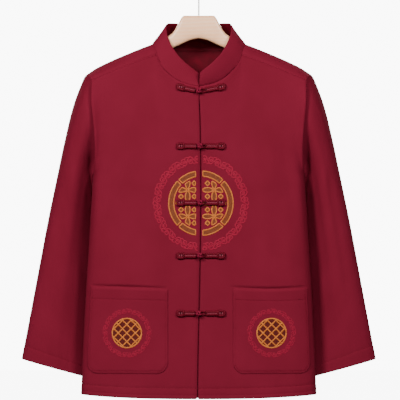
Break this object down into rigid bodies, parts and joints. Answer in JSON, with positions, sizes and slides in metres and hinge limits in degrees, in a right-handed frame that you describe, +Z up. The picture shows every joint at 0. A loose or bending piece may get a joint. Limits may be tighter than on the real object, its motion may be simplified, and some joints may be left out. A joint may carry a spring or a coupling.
{
  "type": "tang jacket on a wooden hanger",
  "caption": "Long-sleeved tang jacket with a standing collar, frog closures and patch pockets, on a shaped wooden hanger with a wire hook.",
  "frame": {"origin": "inside top of the hook, where a wardrobe rail bears", "axes": "+X towards the wearer's left, +Y from front to back, +Z up"},
  "size_m": [0.7418, 0.1457, 0.8905],
  "materials": {
    "jacket_cloth": "soft brushed wool cloth, dark red",
    "frog_cord": "satin-covered cord, dark red",
    "hanger_wood": "pale sanded wood under clear varnish",
    "hook_metal": "bright plated steel wire"
  },
  "bodies": {
    "root": {"front_left": "jacket_cloth", "front_right": "jacket_cloth", "back": "jacket_cloth", "sleeve_left": "jacket_cloth", "sleeve_right": "jacket_cloth", "collar": "jacket_cloth", "pocket_left": "jacket_cloth", "pocket_right": "jacket_cloth", "hanger": "hanger_wood", "hook": "hook_metal", "frog_1_strap_right": "frog_cord", "frog_1_strap_left": "frog_cord", "frog_1_knot": "frog_cord", "frog_1_loop": "frog_cord", "frog_2_strap_right": "frog_cord", "frog_2_strap_left": "frog_cord", "frog_2_knot": "frog_cord", "frog_2_loop": "frog_cord", "frog_3_strap_right": "frog_cord", "frog_3_strap_left": "frog_cord", "frog_3_knot": "frog_cord", "frog_3_loop": "frog_cord", "frog_4_strap_right": "frog_cord", "frog_4_strap_left": "frog_cord", "frog_4_knot": "frog_cord", "frog_4_loop": "frog_cord", "frog_5_strap_right": "frog_cord", "frog_5_strap_left": "frog_cord", "frog_5_knot": "frog_cord", "frog_5_loop": "frog_cord"}
  },
  "joints": []
}
